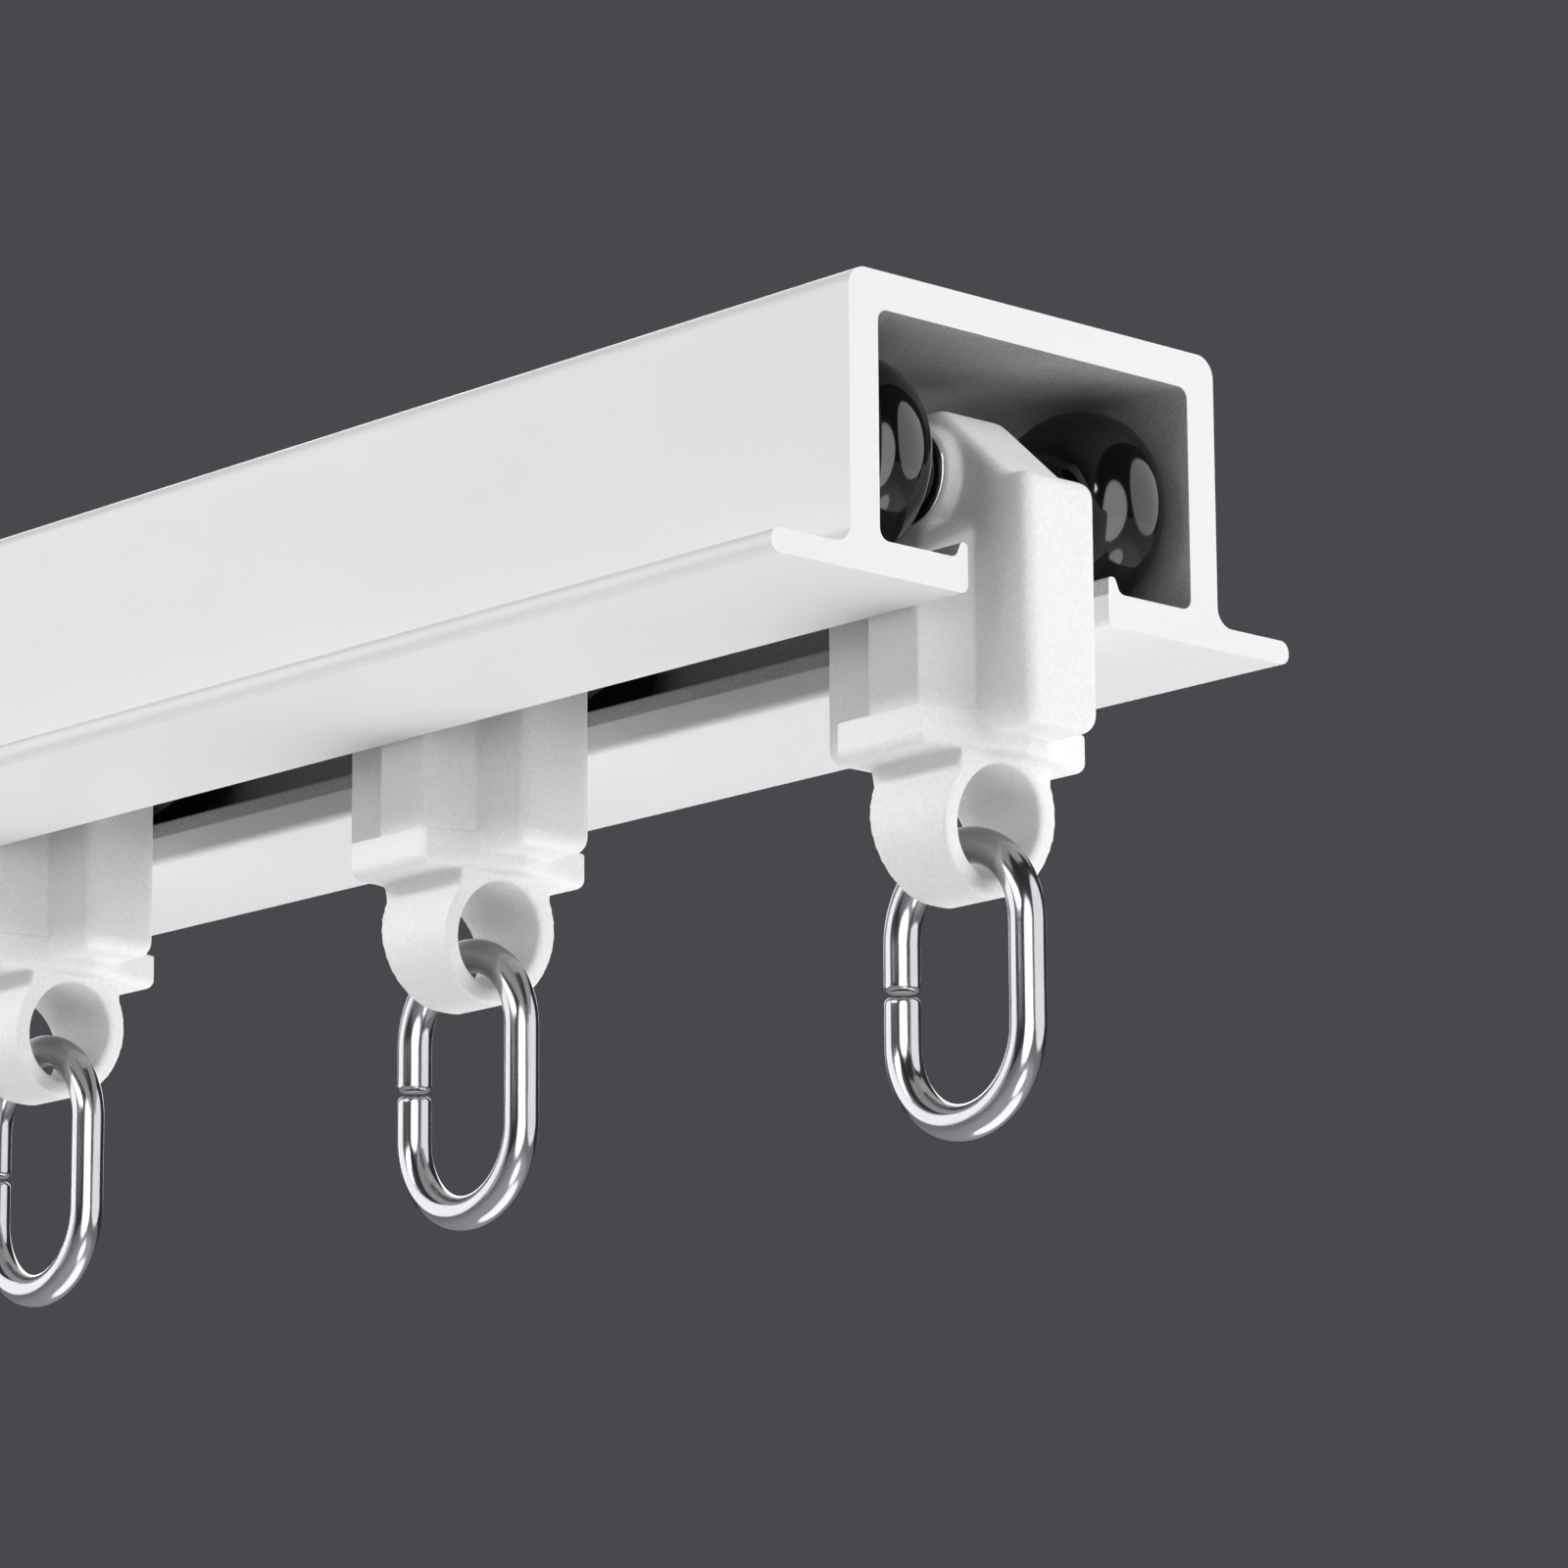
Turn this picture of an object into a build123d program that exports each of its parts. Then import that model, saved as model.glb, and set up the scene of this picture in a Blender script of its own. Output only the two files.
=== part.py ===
from build123d import *
import os
from math import sqrt

# Ceiling curtain track with roller gliders, in millimetres.
# An aluminium channel, open below through a slot, carries gliders on pairs of wheels.
# X runs along the track towards the open end that the first glider stands in.
# Y runs across the track and Z up. The origin is the middle of the face that meets the ceiling.

# Track section
track_length = 150.0
channel_width = 25.0
track_height = 15.0
side_wall = 1.9
top_web = 1.9
lip_thickness = 1.7
flange_reach = 5.1
flange_thickness = 1.2
slot_width = 9.6
bead_height = 0.8
bead_width = 0.45
bead_flank = 0.35

# Rounded corners of the section
outer_top_radius = 1.1
inner_corner_radius = 0.6
flange_root_radius = 1.0
flange_tip_radius = 0.55
slot_edge_radius = 0.45
bead_tip_radius = 0.2
bead_root_radius = 0.45

# Screw holes through the top web
screw_hole_diameter = 4.2
screw_spacing = 100.0

# Gliders along the track
glider_count = 3
glider_pitch = 37.3
first_glider_inset = 5.5

# Wheels and their axle
wheel_radius = 5.35
wheel_width = 4.8
wheel_inner_rim_radius = 2.7
wheel_outer_rim_radius = 2.0
wheel_lift = 0.05
wheel_wall_gap = 0.4
hub_radius = 2.1
axle_radius = 1.0
axle_running_gap = 0.05
axle_seat_gap = 0.02
axle_head_radius = 1.8
axle_head_thickness = 0.45
head_gap = 0.1
head_recess_radius = 2.2
head_recess_depth = 0.8
hub_edge_radius = 0.25
axle_head_edge_radius = 0.2

# Washer between the boss and each wheel hub
washer_radius = 2.4
washer_thickness = 0.2
washer_edge_radius = 0.06
hub_face_gap = 0.1

# Glider body: the rib that stands fore and aft, with the faceted hump over the axle
rib_length = 14.4
rib_width = 4.9
rib_top_below_axle = 0.6
rib_end_below_collar_top = 1.05
hump_height = 3.55
hump_ridge = 2.0
hump_foot = 11.3
rib_corner_radius = 0.9
rib_edge_radius = 0.7

# Glider body: the boss round the axle
boss_length = 6.4
boss_radius = 2.5
boss_root_radius = 2.85
boss_edge_radius = 0.2

# Glider body: the neck in the slot and the collar below it
neck_side_gap = 0.2
neck_flat = 3.4
neck_shoulder = 7.2
neck_top_below_axle = 2.4
neck_top_radius = 0.8
collar_drop = 5.0
collar_thickness = 1.9
collar_width = 11.2
collar_side_length = 6.0
collar_length = 9.6
collar_corner_radius = 0.35
collar_edge_radius = 0.5

# Glider body: the eye that holds the link
eye_hole_radius = 2.7
eye_band = 1.0
eye_drop = 3.0
eye_top_length = 6.4
eye_bottom_length = 3.9
eye_corner_radius = 0.6
eye_rim_radius = 0.3
eye_neck_width = 6.2
eye_root_radius = 0.5

# Link: an oval of round wire, butted at the middle of its rear side
wire_radius = 0.9
link_width = 10.5
link_length = 15.4
link_seat_gap = 0.3
seam_gap = 0.25
wire_end_radius = 0.2

# Levels and half widths that follow from the sizes above
underside_z = -track_height
floor_z = underside_z + lip_thickness
bead_top_z = floor_z + bead_height
channel_half = channel_width / 2
inner_half = channel_half - side_wall
flange_half = channel_half + flange_reach
slot_half = slot_width / 2
axle_z = floor_z + wheel_lift + wheel_radius
wheel_outer_y = inner_half - wheel_wall_gap
wheel_inner_y = wheel_outer_y - wheel_width
boss_face_y = boss_length / 2
washer_face_y = boss_face_y + washer_thickness
hub_face_y = washer_face_y + hub_face_gap
recess_floor_y = wheel_outer_y - head_recess_depth
axle_head_y = recess_floor_y + head_gap
axle_end_y = axle_head_y + axle_head_thickness
neck_half = slot_half - neck_side_gap
collar_top_z = underside_z - collar_drop
collar_bottom_z = collar_top_z - collar_thickness
eye_radius = eye_hole_radius + eye_band
eye_z = collar_bottom_z - eye_drop
eye_bottom_z = eye_z - eye_radius
eye_neck_foot = sqrt(eye_radius**2 - (eye_neck_width / 2) ** 2)
rib_top_z = axle_z - rib_top_below_axle
rib_bottom_z = collar_top_z - rib_end_below_collar_top
hump_top_z = axle_z + hump_height
neck_top_z = axle_z - neck_top_below_axle

# The link's arcs, and the height at which the upper one rests on the rounded rim of the eye
link_arc_radius = link_width / 2 - wire_radius
link_straight = link_length / 2 - wire_radius - link_arc_radius
eye_taper = (eye_top_length - eye_bottom_length) / 2 / (collar_bottom_z - eye_bottom_z)
seat_x = eye_bottom_length / 2 + eye_taper * eye_band - eye_rim_radius / 2
link_inner_radius = link_arc_radius - wire_radius
link_arc_z = eye_z - eye_hole_radius - sqrt(link_inner_radius**2 - seat_x**2) + link_seat_gap
link_z = link_arc_z - link_straight

glider_places = [track_length / 2 - first_glider_inset - glider_pitch * n for n in range(glider_count)]


def plan_plane(x, z):
    """A level plane at this height, centred on the glider at x."""
    return Plane((x, 0, z))


def side_plane(x, z):
    """The upright plane along the track through its middle, with local y pointing up."""
    return Plane((x, 0, z), x_dir=(1, 0, 0), z_dir=(0, -1, 0))


def end_plane(x, z):
    """The upright plane across the track, with local x along Y and local y up."""
    return Plane((x, 0, z), x_dir=(0, 1, 0), z_dir=(1, 0, 0))


def axle_plane(x, side):
    """A plane through the axle whose local x points out along the axle, to +Y or to -Y."""
    return Plane((x, 0, axle_z), x_dir=(0, side, 0), z_dir=(side, 0, 0))


def corners(sketch, across, up):
    """The outline's corners this far either side of the middle, at this height."""
    return sketch.vertices().filter_by(
        lambda v: abs(abs(v.X) - across) < 0.001 and abs(v.Y - up) < 0.001
    )


def write(piece, name):
    """Label a finished piece and save it."""
    piece.part.label = name
    export_step(piece.part, f"parts/{name}.step")


os.makedirs("parts", exist_ok=True)

# Track: one half of the section's outline is given, from the ceiling face round to the web
bead_foot = slot_half + bead_width + bead_flank
half_outline = [
    (channel_half, 0),
    (channel_half, underside_z + flange_thickness),
    (flange_half, underside_z + flange_thickness),
    (flange_half, underside_z),
    (slot_half, underside_z),
    (slot_half, bead_top_z),
    (slot_half + bead_width, bead_top_z),
    (bead_foot, floor_z),
    (inner_half, floor_z),
    (inner_half, -top_web),
]
other_half = [(-across, up) for across, up in reversed(half_outline)]

with BuildPart() as track:
    with BuildSketch(end_plane(0, 0)) as section:
        with BuildLine():
            Polyline(*half_outline, *other_half, close=True)
        make_face()
        fillet(corners(section, channel_half, 0), outer_top_radius)
        fillet(corners(section, channel_half, underside_z + flange_thickness), flange_root_radius)
        fillet(corners(section, flange_half, underside_z + flange_thickness), flange_tip_radius)
        fillet(corners(section, flange_half, underside_z), flange_tip_radius)
        fillet(corners(section, slot_half, underside_z), slot_edge_radius)
        fillet(corners(section, slot_half, bead_top_z), bead_tip_radius)
        fillet(corners(section, slot_half + bead_width, bead_top_z), bead_tip_radius)
        fillet(corners(section, bead_foot, floor_z), bead_root_radius)
        fillet(corners(section, inner_half, floor_z), inner_corner_radius)
        fillet(corners(section, inner_half, -top_web), inner_corner_radius)
    extrude(amount=track_length / 2, both=True)
    with BuildSketch(Plane.XY):
        with GridLocations(screw_spacing, 0, 2, 1):
            Circle(screw_hole_diameter / 2)
    extrude(amount=-top_web, mode=Mode.SUBTRACT)
write(track, "track")


def make_rib(x):
    """The upright rib with its hump over the axle, all its outer edges rounded."""
    outline = [
        (rib_length / 2, rib_bottom_z),
        (rib_length / 2, rib_top_z),
        (hump_foot / 2, rib_top_z),
        (hump_ridge / 2, hump_top_z),
    ]
    mirrored = [(-along, up) for along, up in reversed(outline)]
    with BuildPart() as rib:
        with BuildSketch(side_plane(x, 0)) as rib_side:
            with BuildLine():
                Polyline(*outline, *mirrored, close=True)
            make_face()
            fillet(rib_side.vertices(), rib_corner_radius)
        extrude(amount=rib_width / 2, both=True)
        flat_sides = rib.faces().filter_by(Axis.Y).sort_by(SortBy.AREA)[-2:]
        fillet(flat_sides.edges(), rib_edge_radius)
    return rib


def make_boss(x):
    """The round boss that the axle passes through, a little wider where it leaves the rib."""
    half_profile = [
        (rib_width / 2, boss_root_radius),
        (boss_face_y, boss_radius),
        (boss_face_y, 0),
    ]
    other_profile = [(-along, out) for along, out in reversed(half_profile)]
    with BuildPart() as boss:
        with BuildSketch(axle_plane(x, 1)) as profile:
            with BuildLine():
                Polyline(*half_profile, *other_profile, close=True)
            make_face()
            fillet(corners(profile, boss_face_y, boss_radius), boss_edge_radius)
        revolve(axis=Axis((x, 0, axle_z), (0, 1, 0)))
    return boss


def make_collar(x):
    """The collar below the track: a long hexagon in plan, with its lower edge rounded."""
    half_plan = [
        (collar_length / 2, 0),
        (collar_side_length / 2, collar_width / 2),
        (-collar_side_length / 2, collar_width / 2),
    ]
    other_plan = [(-along, -across) for along, across in half_plan]
    with BuildPart() as collar:
        with BuildSketch(plan_plane(x, collar_bottom_z)) as plan:
            with BuildLine():
                Polyline(*half_plan, *other_plan, close=True)
            make_face()
            fillet(corners(plan, collar_side_length / 2, collar_width / 2), collar_corner_radius)
            fillet(corners(plan, collar_side_length / 2, -collar_width / 2), collar_corner_radius)
        extrude(amount=collar_thickness)
        fillet(collar.faces().sort_by(Axis.Z)[0].edges(), collar_edge_radius)
    return collar


def make_eye(x):
    """The eye: a barrel along X, narrowed towards its foot, with a round hole of rounded rims."""
    half_side = [
        (eye_bottom_length / 2, eye_bottom_z),
        (eye_top_length / 2, collar_bottom_z),
        (eye_top_length / 2, eye_z + eye_radius),
    ]
    other_side = [(-along, up) for along, up in reversed(half_side)]
    with BuildPart() as eye:
        with BuildSketch(end_plane(x, eye_z)) as eye_front:
            Circle(eye_radius)
            with Locations((0, eye_radius / 2)):
                Rectangle(eye_neck_width, eye_radius)
            fillet(corners(eye_front, eye_neck_width / 2, eye_neck_foot), eye_root_radius)
        extrude(amount=eye_top_length / 2, both=True)
        with BuildSketch(side_plane(x, 0)) as eye_side:
            with BuildLine():
                Polyline(*half_side, *other_side, close=True)
            make_face()
            fillet(corners(eye_side, eye_bottom_length / 2, eye_bottom_z), eye_corner_radius)
        extrude(amount=eye_radius, both=True, mode=Mode.INTERSECT)
        with BuildSketch(end_plane(x, eye_z)):
            Circle(eye_hole_radius)
        extrude(amount=eye_top_length, both=True, mode=Mode.SUBTRACT)
        hole_wall = eye.faces().filter_by(GeomType.CYLINDER).sort_by(
            lambda face: abs(face.radius - eye_hole_radius)
        )[0]
        fillet(hole_wall.edges().filter_by(GeomType.LINE, reverse=True), eye_rim_radius)
    return eye


def make_neck(x):
    """The neck in the slot: an octagon in plan, with its top rounded up to the boss."""
    half_plan = [
        (neck_shoulder / 2, rib_width / 2),
        (neck_flat / 2, neck_half),
        (-neck_flat / 2, neck_half),
        (-neck_shoulder / 2, rib_width / 2),
    ]
    other_plan = [(-along, -across) for along, across in half_plan]
    with BuildPart() as neck:
        with BuildSketch(plan_plane(x, collar_top_z)):
            with BuildLine():
                Polyline(*half_plan, *other_plan, close=True)
            make_face()
        extrude(amount=neck_top_z - collar_top_z)
        fillet(neck.faces().sort_by(Axis.Z)[-1].edges(), neck_top_radius)
    return neck


def make_glider_body(x):
    """The moulded body in one piece, bored for the axle."""
    rib, boss, collar, eye, neck = make_rib(x), make_boss(x), make_collar(x), make_eye(x), make_neck(x)
    with BuildPart() as body:
        add(eye.part)
        add(collar.part)
        add(neck.part)
        add(rib.part)
        add(boss.part)
        with BuildSketch(side_plane(x, axle_z)):
            Circle(axle_radius + axle_seat_gap)
        extrude(amount=boss_length, both=True, mode=Mode.SUBTRACT)
    return body


def make_axle(x):
    """The axle pin, from head to head."""
    half_profile = [
        (axle_head_y, axle_radius),
        (axle_head_y, axle_head_radius),
        (axle_end_y, axle_head_radius),
        (axle_end_y, 0),
    ]
    other_profile = [(-along, out) for along, out in reversed(half_profile)]
    with BuildPart() as axle:
        with BuildSketch(axle_plane(x, 1)) as profile:
            with BuildLine():
                Polyline(*half_profile, *other_profile, close=True)
            make_face()
            fillet(corners(profile, axle_end_y, axle_head_radius), axle_head_edge_radius)
        revolve(axis=Axis((x, 0, axle_z), (0, 1, 0)))
    return axle


def make_washer(x, side):
    """The thin washer that lies on the end of the boss."""
    with BuildPart() as washer:
        with BuildSketch(Plane((x, side * boss_face_y, axle_z), z_dir=(0, side, 0))):
            Circle(washer_radius)
            Circle(axle_radius + axle_seat_gap, mode=Mode.SUBTRACT)
        extrude(amount=washer_thickness)
        rim = washer.faces().filter_by(GeomType.CYLINDER).sort_by(lambda face: face.radius)[-1]
        fillet(rim.edges().filter_by(GeomType.CIRCLE), washer_edge_radius)
    return washer


def make_wheel(x, side):
    """A wheel: a round tyre face, a hub on its inner side and a recess for the axle head."""
    bore = axle_radius + axle_running_gap
    outline = [
        (hub_face_y, bore),
        (hub_face_y, hub_radius),
        (wheel_inner_y, hub_radius),
        (wheel_inner_y, wheel_radius),
        (wheel_outer_y, wheel_radius),
        (wheel_outer_y, head_recess_radius),
        (recess_floor_y, head_recess_radius),
        (recess_floor_y, bore),
    ]
    with BuildPart() as wheel:
        with BuildSketch(axle_plane(x, side)) as profile:
            with BuildLine():
                Polyline(*outline, close=True)
            make_face()
            fillet(corners(profile, wheel_inner_y, wheel_radius), wheel_inner_rim_radius)
            fillet(corners(profile, wheel_outer_y, wheel_radius), wheel_outer_rim_radius)
            fillet(corners(profile, hub_face_y, hub_radius), hub_edge_radius)
            fillet(corners(profile, wheel_inner_y, hub_radius), hub_edge_radius)
        revolve(axis=Axis((x, 0, axle_z), (0, 1, 0)))
    return wheel


def make_link(x):
    """The oval link: round wire bent round two arcs, its ends butted behind."""
    with BuildPart() as link:
        with BuildLine(side_plane(x, link_z)) as centre:
            Line((-link_arc_radius, seam_gap / 2), (-link_arc_radius, link_straight))
            CenterArc((0, link_straight), link_arc_radius, 180, -180)
            Line((link_arc_radius, link_straight), (link_arc_radius, -link_straight))
            CenterArc((0, -link_straight), link_arc_radius, 0, -180)
            Line((-link_arc_radius, -link_straight), (-link_arc_radius, -seam_gap / 2))
        with BuildSketch(plan_plane(x - link_arc_radius, link_z + seam_gap / 2)):
            Circle(wire_radius)
        sweep(path=centre.line)
        wire_ends = link.faces().filter_by(GeomType.PLANE)
        fillet(wire_ends.edges(), wire_end_radius)
    return link


for number, x in enumerate(glider_places, 1):
    write(make_glider_body(x), f"glider_body_{number}")
    write(make_axle(x), f"axle_{number}")
    write(make_washer(x, -1), f"washer_left_{number}")
    write(make_washer(x, 1), f"washer_right_{number}")
    write(make_wheel(x, -1), f"wheel_left_{number}")
    write(make_wheel(x, 1), f"wheel_right_{number}")
    write(make_link(x), f"link_{number}")
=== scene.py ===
import math

import bmesh
import bpy
import numpy as np
from mathutils import Matrix, Vector
from mathutils.bvhtree import BVHTree


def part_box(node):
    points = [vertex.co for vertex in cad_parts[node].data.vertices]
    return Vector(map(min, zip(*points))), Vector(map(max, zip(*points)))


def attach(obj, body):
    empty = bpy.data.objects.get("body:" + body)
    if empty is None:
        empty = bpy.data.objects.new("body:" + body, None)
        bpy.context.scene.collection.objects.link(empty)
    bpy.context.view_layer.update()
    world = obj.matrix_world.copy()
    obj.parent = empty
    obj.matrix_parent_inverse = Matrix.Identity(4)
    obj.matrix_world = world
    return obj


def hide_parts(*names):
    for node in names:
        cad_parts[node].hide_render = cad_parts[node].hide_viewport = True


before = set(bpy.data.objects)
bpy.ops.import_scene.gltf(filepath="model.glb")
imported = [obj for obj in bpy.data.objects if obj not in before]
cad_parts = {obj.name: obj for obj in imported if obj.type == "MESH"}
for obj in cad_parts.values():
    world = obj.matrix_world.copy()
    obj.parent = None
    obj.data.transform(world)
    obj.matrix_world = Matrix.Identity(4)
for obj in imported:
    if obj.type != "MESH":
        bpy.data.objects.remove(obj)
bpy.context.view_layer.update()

MM = 0.001

# Sizes of the wheels and links, in millimetres, the same as the solids have
WHEEL_RADIUS = 5.35
WHEEL_WIDTH = 4.8
WHEEL_INNER_RIM_RADIUS = 2.65
WHEEL_OUTER_RIM_RADIUS = 2.0
HUB_RADIUS = 2.1
HUB_EDGE_RADIUS = 0.25
AXLE_BORE_RADIUS = 1.05
BORE_EDGE_RADIUS = 0.1
HEAD_RECESS_RADIUS = 2.2
HEAD_RECESS_DEPTH = 0.8
RECESS_EDGE_RADIUS = 0.15
WIRE_RADIUS = 0.9
SEAM_GAP = 0.25
WIRE_END_RADIUS = 0.3

# The shoulder between boss and neck, in millimetres, and how steeply it falls outwards
SHOULDER_START = 3.2
SHOULDER_TOP = -10.35
SHOULDER_MARGIN = 0.3
SHOULDER_FOOT = -12.9
SHOULDER_SLOPE = 1.35

# The skin drawn over the moulded body: its squares and the levels between which its softness
# changes, in millimetres, its rounds of smoothing, and the share of them that the collar gets
SKIN_SIZE = 0.13
SOFT_ABOVE = -15.0
SOFT_BELOW = -18.0
SKIN_SMOOTHING = 6
COLLAR_SOFTNESS = 0.12

# Points of a mesh that are closer than this, in metres, are one
MERGE_DISTANCE = 1e-7

# The channel's inner walls, the top of its lips and the underside of its web, in millimetres
CHANNEL_INNER_HALF = 10.6
LIP_TOP_LEVEL = -13.3
WEB_LEVEL = -1.9

# The painted shade inside the channel is full up to the first of these and has ended at the second:
# millimetres past its borders, and how far a face turns along the track
SHADE_WHOLE, SHADE_ENDED = 0.05, 0.15
TURN_WHOLE, TURN_ENDED = 0.4, 0.6

# How finely curved surfaces are divided
TURN_STEPS = 160
CORNER_STEPS = 12
LINK_STEPS = 220
WIRE_STEPS = 64
WIRE_END_STEPS = 8

# How far beside a rounded corner the next point of an outline stands, in millimetres
HOLD = 0.03

# The least length that is divided by
TINY = 1e-9

# The angle in degrees at which an edge is shaded sharp, on turned and drawn pieces and on the moulding
CREASE = 35.0
MOULDING_CREASE = 80.0

# The range that holds nearly all values of a noise
NOISE_MIDDLE = {"From Min": 0.3, "From Max": 0.7}

# The point that the lamps face, in metres
LIT_POINT = (0.03, 0.0, -0.015)

# The backdrop's colour, the even light's strength, and how much of its paint's colour the floor
# shows beyond what the lamps light
BACKDROP = "#48494C"
AMBIENT = 0.2
FLOOR_LIFT = 0.4

# The floor's half width and level, in millimetres
FLOOR_REACH = 4000.0
FLOOR_LEVEL = -600.0

# The camera: azimuth, elevation and roll in degrees, target, distance and clipping in metres, lens
# and sensor in millimetres
CAMERA_ANGLES = (47.211, -12.451, -0.388)
CAMERA_TARGET = (0.138341, -0.075534, -0.045116)
CAMERA_DISTANCE = 0.22256
CAMERA_CLIP = (0.01, 20.0)
CAMERA_LENS = 154.17
CAMERA_SENSOR = 36.0


def hex_colour(text):
    """An sRGB hex colour as linear RGBA."""
    srgb = np.array([int(text[start : start + 2], 16) for start in (1, 3, 5)]) / 255.0
    linear = np.where(srgb <= 0.04045, srgb / 12.92, ((srgb + 0.055) / 1.055) ** 2.4)
    return (*linear.tolist(), 1.0)


def add_node(tree, kind, inputs=None, **settings):
    """Add a node with its settings. A socket given as an input is linked, any other value is set."""
    node = tree.nodes.new(kind)
    for key, value in settings.items():
        setattr(node, key, value)
    for key, value in (inputs or {}).items():
        if isinstance(value, bpy.types.NodeSocket):
            tree.links.new(value, node.inputs[key])
        else:
            node.inputs[key].default_value = value
    return node


def new_material(name, **sockets):
    """A material with a Principled shader whose sockets are set, and its object coordinates."""
    material = bpy.data.materials.new(name)
    material.use_nodes = True
    tree = material.node_tree
    tree.nodes.clear()
    shader = add_node(tree, "ShaderNodeBsdfPrincipled", sockets)
    add_node(tree, "ShaderNodeOutputMaterial", {"Surface": shader.outputs["BSDF"]})
    place = add_node(tree, "ShaderNodeTexCoord").outputs["Object"]
    return material, tree, shader, place


def grains(tree, place, size_mm, detail=2.0, stretch=(1.0, 1.0, 1.0)):
    """A pattern of grains of about this many millimetres, pulled out along an axis by stretch."""
    scale = tuple(1.0 / (MM * size_mm * factor) for factor in stretch)
    mapped = add_node(tree, "ShaderNodeMapping", {"Vector": place, "Scale": scale}).outputs["Vector"]
    inputs = {"Vector": mapped, "Scale": 1.0, "Detail": detail}
    return add_node(tree, "ShaderNodeTexNoise", inputs).outputs["Fac"]


def channel_shade_mask(tree, place):
    """1 inside the channel, where shade is painted, and 0 outside it and on the cut ends.

    It is the product of four ramps: between the walls, above the top of the lips, below the web, and
    not facing along the track.
    """
    level = add_node(tree, "ShaderNodeSeparateXYZ", {"Vector": place}).outputs
    normal = add_node(tree, "ShaderNodeTexCoord").outputs["Normal"]
    facing = add_node(tree, "ShaderNodeSeparateXYZ", {"Vector": normal}).outputs
    across = add_node(tree, "ShaderNodeMath", {0: level["Y"]}, operation="ABSOLUTE").outputs[0]
    end_on = add_node(tree, "ShaderNodeMath", {0: facing["X"]}, operation="ABSOLUTE").outputs[0]
    ramps = [
        (across, (CHANNEL_INNER_HALF + SHADE_WHOLE) * MM, (CHANNEL_INNER_HALF + SHADE_ENDED) * MM),
        (level["Z"], (LIP_TOP_LEVEL - SHADE_WHOLE) * MM, (LIP_TOP_LEVEL - SHADE_ENDED) * MM),
        (level["Z"], (WEB_LEVEL + SHADE_WHOLE) * MM, (WEB_LEVEL + SHADE_ENDED) * MM),
        (end_on, TURN_WHOLE, TURN_ENDED),
    ]
    mask = 1.0
    for value, whole, ended in ramps:
        inputs = {"Value": value, "From Min": ended, "From Max": whole}
        ramp = add_node(tree, "ShaderNodeMapRange", inputs).outputs["Result"]
        mask = add_node(tree, "ShaderNodeMath", {0: ramp, 1: mask}, operation="MULTIPLY").outputs[0]
    return mask


def powder_coated_aluminium():
    """Extruded aluminium with a white satin powder coat: an even sheen with faint draw lines.

    The coat reaches the outside fully. Inside the channel a darker grey is painted as shade, and the
    grain shows there. The real draw lines and grain are finer, and are drawn coarser to show.
    """
    material, tree, shader, place = new_material(
        "powder_coated_aluminium_extruded", Metallic=0.0, IOR=1.5
    )
    cloud = grains(tree, place, 14.0, 3.0)
    draw_lines = grains(tree, place, 0.35, 2.0, (90.0, 1.0, 1.0))
    grain = grains(tree, place, 0.2)
    speckle = add_node(tree, "ShaderNodeMapRange", {"Value": grain, **NOISE_MIDDLE}).outputs["Result"]
    full = {0: cloud, 6: hex_colour("#ECECEC"), 7: hex_colour("#F3F3F3")}
    outside = add_node(tree, "ShaderNodeMix", full, data_type="RGBA").outputs[2]
    # Darker greys painted inside the channel as shade, with the grain through them
    shade_greys = {0: speckle, 6: hex_colour("#A4A4A5"), 7: hex_colour("#C0C0C1")}
    inside = add_node(tree, "ShaderNodeMix", shade_greys, data_type="RGBA").outputs[2]
    # The white coat outside, and the painted shade inside the channel
    either = {0: channel_shade_mask(tree, place), 6: outside, 7: inside}
    coat_and_shade = add_node(tree, "ShaderNodeMix", either, data_type="RGBA").outputs[2]
    satin = {"Value": draw_lines, **NOISE_MIDDLE, "To Min": 0.34, "To Max": 0.44}
    roughness = add_node(tree, "ShaderNodeMapRange", satin).outputs["Result"]
    relief = add_node(tree, "ShaderNodeBump", {"Height": grain, "Distance": 0.004 * MM, "Strength": 1.0})
    tree.links.new(coat_and_shade, shader.inputs["Base Color"])
    tree.links.new(roughness, shader.inputs["Roughness"])
    tree.links.new(relief.outputs["Normal"], shader.inputs["Normal"])
    return material


def moulded_nylon():
    """White nylon moulded in an eroded tool: matte, with a fine even grain.

    The real grain is finer, and is drawn coarser to show.
    """
    material, tree, shader, place = new_material("nylon_white_moulded", Metallic=0.0, IOR=1.53)
    grain = grains(tree, place, 0.2)
    speckle = add_node(tree, "ShaderNodeMapRange", {"Value": grain, **NOISE_MIDDLE}).outputs["Result"]
    whites = {0: speckle, 6: hex_colour("#F0F0EF"), 7: hex_colour("#F9F9F8")}
    colour = add_node(tree, "ShaderNodeMix", whites, data_type="RGBA").outputs[2]
    matte = {"Value": grain, **NOISE_MIDDLE, "To Min": 0.46, "To Max": 0.62}
    roughness = add_node(tree, "ShaderNodeMapRange", matte).outputs["Result"]
    relief = add_node(tree, "ShaderNodeBump", {"Height": grain, "Distance": 0.014 * MM, "Strength": 1.0})
    tree.links.new(colour, shader.inputs["Base Color"])
    tree.links.new(roughness, shader.inputs["Roughness"])
    tree.links.new(relief.outputs["Normal"], shader.inputs["Normal"])
    return material


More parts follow.
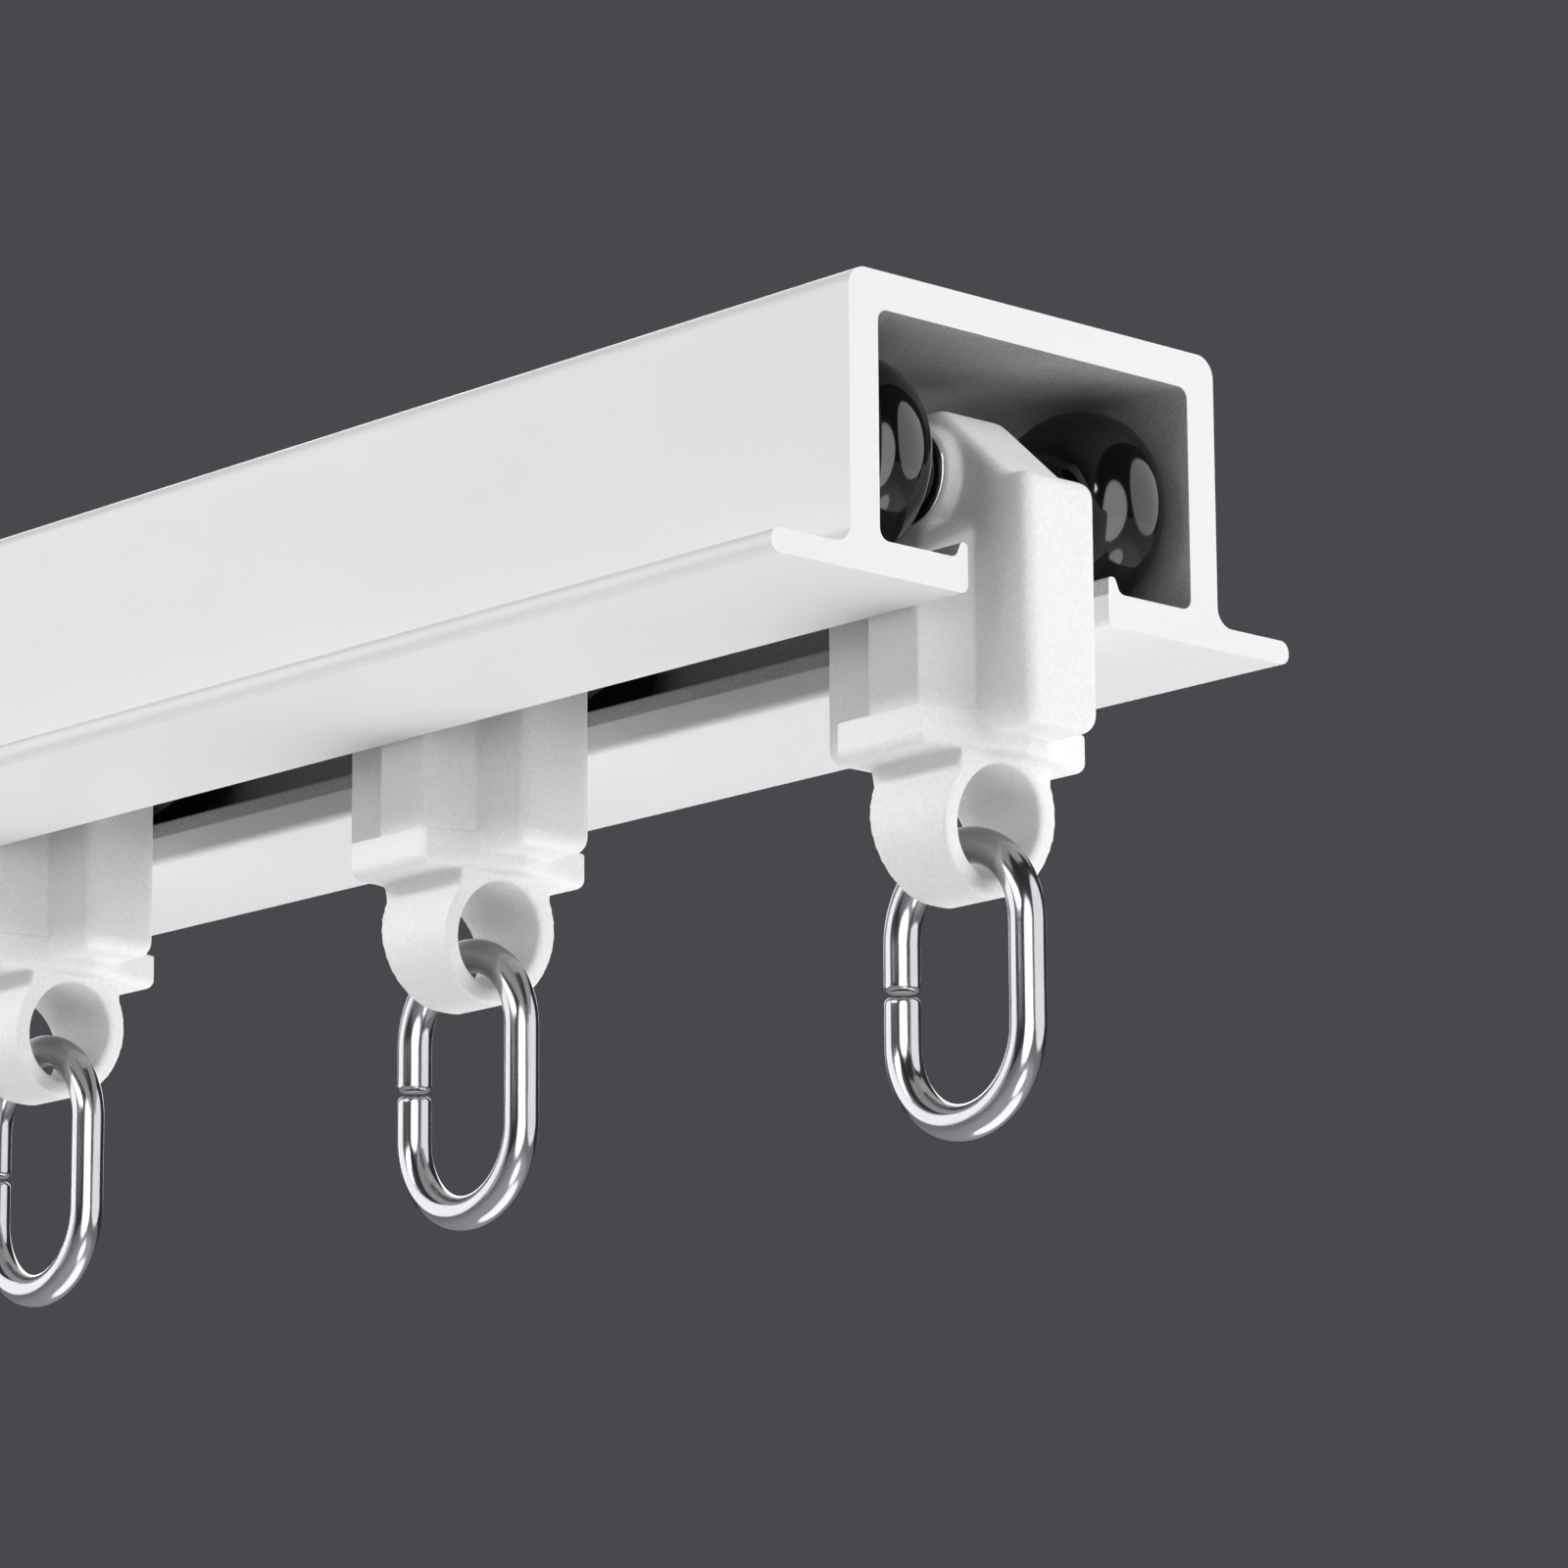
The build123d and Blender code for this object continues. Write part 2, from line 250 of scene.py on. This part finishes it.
def black_acetal():
    """Black acetal moulded in a polished tool: deep black with a clear gloss."""
    material, tree, shader, place = new_material(
        "acetal_black_polished_moulding", Metallic=0.0, IOR=1.5
    )
    cloud = grains(tree, place, 3.0, 3.0)
    blacks = {0: cloud, 6: hex_colour("#070708"), 7: hex_colour("#0D0D0E")}
    colour = add_node(tree, "ShaderNodeMix", blacks, data_type="RGBA").outputs[2]
    gloss = {"Value": cloud, **NOISE_MIDDLE, "To Min": 0.06, "To Max": 0.1}
    roughness = add_node(tree, "ShaderNodeMapRange", gloss).outputs["Result"]
    tree.links.new(colour, shader.inputs["Base Color"])
    tree.links.new(roughness, shader.inputs["Roughness"])
    return material


def polished_wire():
    """Drawn stainless wire, tumbled bright: a clear mirror with fine lines along it.

    The real lines are finer, and are drawn coarser to show.
    """
    material, tree, shader, place = new_material("stainless_wire_bright_drawn", Metallic=1.0)
    along = add_node(tree, "ShaderNodeUVMap", uv_map="wire").outputs["UV"]
    lines = grains(tree, along, 0.12, 2.0, (60.0, 1.0, 1.0))
    cloud = grains(tree, place, 2.0)
    greys = {0: cloud, 6: hex_colour("#8E8F92"), 7: hex_colour("#9C9D9F")}
    colour = add_node(tree, "ShaderNodeMix", greys, data_type="RGBA").outputs[2]
    bright = {"Value": lines, **NOISE_MIDDLE, "To Min": 0.1, "To Max": 0.2}
    roughness = add_node(tree, "ShaderNodeMapRange", bright).outputs["Result"]
    tree.links.new(colour, shader.inputs["Base Color"])
    tree.links.new(roughness, shader.inputs["Roughness"])
    return material


def stamped_steel():
    """Stamped stainless steel, barrel polished: bright with a soft grain."""
    material, tree, shader, place = new_material("stainless_steel_stamped_polished", Metallic=1.0)
    grain = grains(tree, place, 0.1)
    greys = {0: grain, 6: hex_colour("#C2C3C6"), 7: hex_colour("#D2D3D5")}
    colour = add_node(tree, "ShaderNodeMix", greys, data_type="RGBA").outputs[2]
    soft = {"Value": grain, **NOISE_MIDDLE, "To Min": 0.16, "To Max": 0.26}
    roughness = add_node(tree, "ShaderNodeMapRange", soft).outputs["Result"]
    tree.links.new(colour, shader.inputs["Base Color"])
    tree.links.new(roughness, shader.inputs["Roughness"])
    return material


def seen_directly(tree):
    """1 for what the camera sees, also in gloss and through glass, and 0 for light on a surface."""
    path = add_node(tree, "ShaderNodeLightPath").outputs
    in_gloss = {0: path["Is Camera Ray"], 1: path["Is Glossy Ray"]}
    seen = add_node(tree, "ShaderNodeMath", in_gloss, operation="MAXIMUM").outputs[0]
    through_glass = {0: seen, 1: path["Is Transmission Ray"]}
    return add_node(tree, "ShaderNodeMath", through_glass, operation="MAXIMUM").outputs[0]


def floor_paint():
    """Matte pale paint on a level floor: nearly even, with a broad faint mottle.

    The floor stands far below the lamps, so the camera is shown the paint a little lighter than they
    light it, and no light is added to the scene by that.
    """
    material, tree, shader, place = new_material("emulsion_pale_matte", Roughness=0.9)
    mottle = grains(tree, place, 90.0, 3.0)
    pales = {0: mottle, 6: hex_colour("#D6D7D8"), 7: hex_colour("#DADBDC")}
    paint = add_node(tree, "ShaderNodeMix", pales, data_type="RGBA").outputs[2]
    lift = add_node(tree, "ShaderNodeMath", {0: seen_directly(tree), 1: FLOOR_LIFT}, operation="MULTIPLY")
    tree.links.new(paint, shader.inputs["Base Color"])
    tree.links.new(paint, shader.inputs["Emission Color"])
    tree.links.new(lift.outputs[0], shader.inputs["Emission Strength"])
    return material


def rounded_outline(corners):
    """Round the corners of a closed outline.

    Each corner is (u, v, radius). Where its radius is not zero, the corner becomes an arc tangent to
    both of its sides: the arc's centre lies on the bisector, and its points are the centre plus the
    radius times the unit vectors turned evenly from one tangent point to the other. One more point
    stands a little way along each side, so that the shading stays flat up to the arc.
    """
    rows = np.array(corners, float)
    points, radii = rows[:, :2], rows[:, 2]
    before = np.roll(points, 1, 0) - points
    after = np.roll(points, -1, 0) - points
    before /= np.linalg.norm(before, axis=1, keepdims=True)
    after /= np.linalg.norm(after, axis=1, keepdims=True)
    turn = np.arccos(np.clip((before * after).sum(1), -1.0, 1.0))
    reach = radii / np.tan(turn / 2)
    middle = before + after
    middle /= np.maximum(np.linalg.norm(middle, axis=1, keepdims=True), TINY)
    centre = points + middle * (radii / np.sin(turn / 2))[:, None]
    first = points + before * reach[:, None] - centre
    last = points + after * reach[:, None] - centre
    sweep = np.arctan2(first[:, 0] * last[:, 1] - first[:, 1] * last[:, 0], (first * last).sum(1))
    share = np.linspace(0.0, 1.0, CORNER_STEPS)[None, :] * sweep[:, None]
    cos, sin = np.cos(share), np.sin(share)
    arc_u = centre[:, 0:1] + first[:, 0:1] * cos - first[:, 1:2] * sin
    arc_v = centre[:, 1:2] + first[:, 0:1] * sin + first[:, 1:2] * cos
    lead = (points + before * (reach + HOLD)[:, None])[:, None, :]
    tail = (points + after * (reach + HOLD)[:, None])[:, None, :]
    arcs = np.concatenate([lead, np.stack([arc_u, arc_v], 2), tail], 1)
    parts = [arcs[i] if radii[i] > 0 else points[i : i + 1] for i in range(len(rows))]
    return np.concatenate(parts)


def surface(name, grid, around=True, lengthways=False, uv=None):
    """A mesh from a grid of points, rows by columns, in millimetres.

    Each square of neighbours is one face. around joins the last column to the first, and lengthways
    joins the last row to the first. A tube whose rows are open is closed by a face at each end.
    """
    rows, columns = grid.shape[:2]
    row = np.arange(rows if lengthways else rows - 1)[:, None]
    column = np.arange(columns if around else columns - 1)[None, :]
    next_row, next_column = (row + 1) % rows, (column + 1) % columns
    corners = [
        row * columns + column,
        row * columns + next_column,
        next_row * columns + next_column,
        next_row * columns + column,
    ]
    faces = np.stack(corners, 2).reshape(-1, 4).tolist()
    if around and not lengthways:
        faces.append(list(range(columns))[::-1])
        faces.append(list(range((rows - 1) * columns, rows * columns)))
    mesh = bpy.data.meshes.new(name)
    mesh.from_pydata((grid.reshape(-1, 3) * MM).tolist(), [], faces)
    if uv is not None:
        corner_vertex = np.zeros(len(mesh.loops), int)
        mesh.loops.foreach_get("vertex_index", corner_vertex)
        layer = mesh.uv_layers.new(name="wire")
        layer.data.foreach_set("uv", uv.reshape(-1, 2)[corner_vertex].ravel())
    mesh.validate()
    mesh.update()
    return mesh


def finish_piece(mesh, name, body, material, replaced, crease=CREASE):
    """Make a piece of a mesh, shade it, and let it ride on its body in the place of a solid."""
    piece = bpy.data.objects.new(name, mesh)
    bpy.context.scene.collection.objects.link(piece)
    mesh.materials.append(material)
    mesh.shade_smooth()
    mesh.set_sharp_from_angle(angle=math.radians(crease))
    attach(piece, body)
    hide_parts(replaced)


def node_box(name):
    """The lowest and highest corners of a solid, in millimetres."""
    low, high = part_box(name)
    return np.array(low) / MM, np.array(high) / MM


def mesh_points(mesh):
    """A mesh's points, a row of X, Y and Z for each."""
    points = np.zeros(len(mesh.vertices) * 3)
    mesh.vertices.foreach_get("co", points)
    return points.reshape(-1, 3)


def sloped_shoulders(points):
    """Points in millimetres, with the neck's top sloped where it stands out beyond the boss.

    There each point's height is held below a line that falls from the boss's foot towards the neck's
    side, by the slope times the distance out.
    """
    out, height = np.abs(points[:, 1]), points[:, 2]
    line = SHOULDER_TOP - (out - SHOULDER_START) * SHOULDER_SLOPE
    near_top = (height > SHOULDER_FOOT) & (height < SHOULDER_TOP + SHOULDER_MARGIN)
    held = np.where((out > SHOULDER_START) & near_top, np.minimum(height, line), height)
    return np.column_stack((points[:, :2], held))


def even_skin(mesh, name):
    """A closed skin of small even squares over a mesh, each point set on the mesh's nearest point."""
    draft = bpy.data.objects.new("draft", mesh)
    bpy.context.scene.collection.objects.link(draft)
    remesh = draft.modifiers.new("skin", "REMESH")
    remesh.mode = "VOXEL"
    remesh.voxel_size = SKIN_SIZE * MM
    graph = bpy.context.evaluated_depsgraph_get()
    skin = bpy.data.meshes.new_from_object(draft.evaluated_get(graph))
    skin.name = name
    skin.materials.clear()
    bpy.data.objects.remove(draft)
    solid = BVHTree.FromPolygons(
        [point.co for point in mesh.vertices], [face.vertices for face in mesh.polygons]
    )
    points = np.array([solid.find_nearest(point)[0] for point in mesh_points(skin)])
    skin.vertices.foreach_set("co", points.ravel())
    return skin


def soften(mesh):
    """Round a skin's corners and fill its roots.

    In each round a point moves half its share of the way to the mean of its neighbours. The share is 1
    at the head and falls to the collar's softness.
    """
    points = mesh_points(mesh)
    edges = np.zeros(len(mesh.edges) * 2, dtype=int)
    mesh.edges.foreach_get("vertices", edges)
    edges = edges.reshape(-1, 2)
    here, there = np.concatenate((edges, edges[:, ::-1])).T
    neighbours = np.bincount(here, minlength=len(points))[:, None]
    share = np.interp(points[:, 2] / MM, [SOFT_BELOW, SOFT_ABOVE], [COLLAR_SOFTNESS, 1.0])
    for _ in range(SKIN_SMOOTHING):
        sums = [np.bincount(here, points[there, axis], len(points)) for axis in range(3)]
        mean = np.stack(sums, axis=1) / neighbours
        points = points + (mean - points) * share[:, None] / 2
    mesh.vertices.foreach_set("co", points.ravel())
    mesh.update()


def build_body(number, material):
    """The moulded body: its solid's surface with sloped shoulders, softened as a moulding is.

    The solid's own surface is copied and its doubles are merged. Its shoulders are sloped, an even skin
    is drawn over it, and the skin is softened.
    """
    node = f"glider_body_{number}"
    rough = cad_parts[node].data.copy()
    edit = bmesh.new()
    edit.from_mesh(rough)
    bmesh.ops.remove_doubles(edit, verts=edit.verts, dist=MERGE_DISTANCE)
    edit.to_mesh(rough)
    edit.free()
    sloped = sloped_shoulders(mesh_points(rough) / MM) * MM
    rough.vertices.foreach_set("co", sloped.ravel())
    rough.update()

    mesh = even_skin(rough, f"moulding_{number}")
    bpy.data.meshes.remove(rough)
    soften(mesh)
    finish_piece(
        mesh, f"moulded_body_{number}", f"glider_{number}", material, node, MOULDING_CREASE
    )


def wheel_outline(inner, outer, hub_face):
    """The wheel's half section: hub, round tyre face and recess for the pin head."""
    recess = outer - HEAD_RECESS_DEPTH
    return rounded_outline(
        [
            (hub_face, AXLE_BORE_RADIUS, BORE_EDGE_RADIUS),
            (hub_face, HUB_RADIUS, HUB_EDGE_RADIUS),
            (inner, HUB_RADIUS, HUB_EDGE_RADIUS),
            (inner, WHEEL_RADIUS, WHEEL_INNER_RIM_RADIUS),
            (outer, WHEEL_RADIUS, WHEEL_OUTER_RIM_RADIUS),
            (outer, HEAD_RECESS_RADIUS, RECESS_EDGE_RADIUS),
            (recess, HEAD_RECESS_RADIUS, RECESS_EDGE_RADIUS),
            (recess, AXLE_BORE_RADIUS, BORE_EDGE_RADIUS),
        ]
    )


def turned(name, outline, x, z, side):
    """Turn a closed outline about an axle along Y.

    The outline's points are (distance out from the middle, radius). Each becomes a circle about the
    axle: X and Z are the radius times the cosine and sine of the angle, and Y is the distance out.
    """
    angle = np.linspace(0.0, 2 * np.pi, TURN_STEPS, endpoint=False)[:, None]
    out, radius = outline[None, :, 0], outline[None, :, 1]
    grid = np.stack(
        [x + radius * np.cos(angle), side * out + 0 * angle, z + radius * np.sin(angle)], 2
    )
    if side > 0:
        grid = grid[:, ::-1]
    return surface(name, grid, lengthways=True)


def build_wheels(number, material):
    """Both wheels of a glider, from the places of their solids."""
    for side, word in ((-1, "left"), (1, "right")):
        node = f"wheel_{word}_{number}"
        low, high = node_box(node)
        x, z = (low[0] + high[0]) / 2, (low[2] + high[2]) / 2
        near, far = sorted((abs(low[1]), abs(high[1])))
        outline = wheel_outline(far - WHEEL_WIDTH, far, near)
        mesh = turned(f"tyre_{word}_{number}", outline, x, z, side)
        finish_piece(mesh, f"turned_wheel_{word}_{number}", node, material, node)


def build_link(number, material):
    """The oval of wire.

    The centre line runs up the rear side from the seam, over the upper arc, down the front side, round
    the lower arc and back to the seam. A circle of the wire's radius is carried along it, upright to
    the line in the plane of the oval, and it shrinks to a rounded end at both sides of the seam.
    """
    node = f"link_{number}"
    low, high = node_box(node)
    middle_x, middle_z = (low[0] + high[0]) / 2, (low[2] + high[2]) / 2
    arc = (high[0] - low[0]) / 2 - WIRE_RADIUS
    straight = (high[2] - low[2]) / 2 - WIRE_RADIUS - arc
    arc_run = math.pi * arc
    total = 2 * (2 * straight + arc_run) - SEAM_GAP
    lean = np.linspace(0, np.pi / 2, WIRE_END_STEPS + 1)[:-1]
    ease = WIRE_END_RADIUS * (1 - np.cos(lean))
    run = np.linspace(WIRE_END_RADIUS, total - WIRE_END_RADIUS, LINK_STEPS)
    along = np.concatenate([ease, run, (total - ease)[::-1]])
    short = np.clip(WIRE_END_RADIUS - np.minimum(along, total - along), 0, None)
    radius = WIRE_RADIUS - WIRE_END_RADIUS + np.sqrt(np.maximum(WIRE_END_RADIUS**2 - short**2, 0))

    # How far the line has run since its start and since the start of each later part
    path = along + SEAM_GAP / 2
    over = path - straight
    front = over - arc_run
    under = front - 2 * straight
    last = under - arc_run
    on_top = (over >= 0) & (over < arc_run)
    on_front = (front >= 0) & (front < 2 * straight)
    on_low = (under >= 0) & (under < arc_run)
    parts = [path < straight, on_top, on_front, on_low]
    still = 0 * path
    turn = np.select(
        parts, [np.pi + still, np.pi - over / arc, still, -under / arc], -np.pi + still
    )
    centre_z = np.select(
        parts, [path, straight + still, straight - front, -straight + still], -straight + last
    )
    out_x, out_z = np.cos(turn), np.where(on_top | on_low, np.sin(turn), 0.0)
    line_x, line_z = arc * out_x, centre_z + arc * out_z

    angle = np.linspace(0.0, 2 * np.pi, WIRE_STEPS, endpoint=False)[None, :]
    swing = radius[:, None] * np.cos(angle)
    grid = np.stack(
        [
            middle_x + line_x[:, None] + swing * out_x[:, None],
            radius[:, None] * np.sin(angle),
            middle_z + line_z[:, None] + swing * out_z[:, None],
        ],
        2,
    )
    around = np.abs(angle - np.pi) * WIRE_RADIUS
    uv = np.stack(np.broadcast_arrays(along[:, None], around), 2) * MM
    mesh = surface(f"wire_{number}", grid, uv=uv)
    finish_piece(mesh, f"wire_link_{number}", node, material, node)


def softbox(name, azimuth, elevation, distance, size, power, gloss_only=False):
    """An oval area lamp facing the track, at this azimuth from +X towards +Y and this elevation.

    Angles are in degrees, distance and size in metres, and power in watts. A lamp for gloss only stands
    for a reflecting card: wheels and wire show it, and it adds no other light.
    """
    turn, rise = math.radians(azimuth), math.radians(elevation)
    level = math.cos(rise)
    out = Vector((math.cos(turn) * level, math.sin(turn) * level, math.sin(rise)))
    data = bpy.data.lights.new(name, "AREA")
    data.shape = "ELLIPSE"
    data.size, data.size_y = size
    data.energy = power
    light = bpy.data.objects.new(name, data)
    light.location = Vector(LIT_POINT) + out * distance
    light.rotation_euler = out.to_track_quat("Z", "Y").to_euler()
    light.visible_camera = False
    light.visible_diffuse = not gloss_only
    bpy.context.scene.collection.objects.link(light)


def set_world():
    """Even light from all round, while the camera, gloss and glass see the backdrop's colour."""
    world = bpy.data.worlds.new("studio")
    bpy.context.scene.world = world
    world.use_nodes = True
    tree = world.node_tree
    tree.nodes.clear()
    even = {"Color": hex_colour("#FFFFFF"), "Strength": AMBIENT}
    light = add_node(tree, "ShaderNodeBackground", even).outputs[0]
    plain = {"Color": hex_colour(BACKDROP), "Strength": 1.0}
    backdrop = add_node(tree, "ShaderNodeBackground", plain).outputs[0]
    mix = add_node(tree, "ShaderNodeMixShader", {0: seen_directly(tree), 1: light, 2: backdrop})
    add_node(tree, "ShaderNodeOutputWorld", {"Surface": mix.outputs[0]})


def set_camera():
    """The camera at the photograph's viewing angle, worked out from the edges of the cut end.

    Back is the unit vector from the target to the camera at the azimuth and elevation, right is level,
    and up is back crossed with right; the roll turns right and up about back.
    """
    azimuth, elevation, roll = map(math.radians, CAMERA_ANGLES)
    level = math.cos(elevation)
    back = Vector((math.sin(azimuth) * level, -math.cos(azimuth) * level, math.sin(elevation)))
    right = Vector((math.cos(azimuth), math.sin(azimuth), 0.0))
    up = back.cross(right)
    turned_right = right * math.cos(roll) + up * math.sin(roll)
    turned_up = up * math.cos(roll) - right * math.sin(roll)
    camera = bpy.data.objects.new("camera", bpy.data.cameras.new("camera"))
    camera.data.sensor_width = CAMERA_SENSOR
    camera.data.lens = CAMERA_LENS
    camera.data.clip_start, camera.data.clip_end = CAMERA_CLIP
    place = Vector(CAMERA_TARGET) + back * CAMERA_DISTANCE
    axes = Matrix((turned_right, turned_up, back)).transposed()
    camera.matrix_world = Matrix.Translation(place) @ axes.to_4x4()
    bpy.context.scene.collection.objects.link(camera)
    bpy.context.scene.camera = camera


def build_floor(material):
    """A level pale floor well below the hanging track."""
    side = np.array([-FLOOR_REACH, FLOOR_REACH])
    x, y = np.meshgrid(side, side, indexing="ij")
    mesh = surface("floor", np.stack([x, y, FLOOR_LEVEL + 0 * x], 2), around=False)
    floor = bpy.data.objects.new("floor", mesh)
    bpy.context.scene.collection.objects.link(floor)
    mesh.materials.append(material)


set_camera()
set_world()
softbox("front_softbox", 32, 15, 0.95, (1.35, 1.15), 8.6)
softbox("side_softbox", -98, 20.5, 0.9, (0.7, 0.14), 3.6)
softbox("rear_side_softbox", -118, -4, 0.9, (0.3, 0.3), 0.2)
softbox("near_softbox", -38, -1, 1.1, (0.9, 1.0), 0.95)
softbox("low_softbox", 90, -72, 0.55, (0.6, 0.6), 2.0)
softbox("near_card", -38, -1, 0.95, (0.9, 1.0), 8.0, gloss_only=True)
softbox("side_card", -150, 12, 1.0, (1.0, 0.9), 6.0, gloss_only=True)
softbox("low_card", -12, -50, 0.6, (0.32, 0.28), 0.65, gloss_only=True)
softbox("top_softbox", 90, 80, 0.9, (0.6, 0.4), 1.2)
softbox("rear_softbox", 140, 25, 0.9, (0.6, 0.6), 2.4)

nylon = moulded_nylon()
acetal = black_acetal()
wire = polished_wire()
steel = stamped_steel()
coat = powder_coated_aluminium()

finishes = {"track": coat, "glider_body": nylon, "washer": steel, "axle": steel}
for name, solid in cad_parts.items():
    for start, material in finishes.items():
        if name.startswith(start):
            solid.data.materials.clear()
            solid.data.materials.append(material)

links = [name for name in sorted(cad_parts) if name.startswith("link_")]
for link in links:
    number = link.rsplit("_", 1)[1]
    build_body(number, nylon)
    build_wheels(number, acetal)
    build_link(number, wire)

build_floor(floor_paint())
bpy.context.scene.view_settings.view_transform = "Standard"
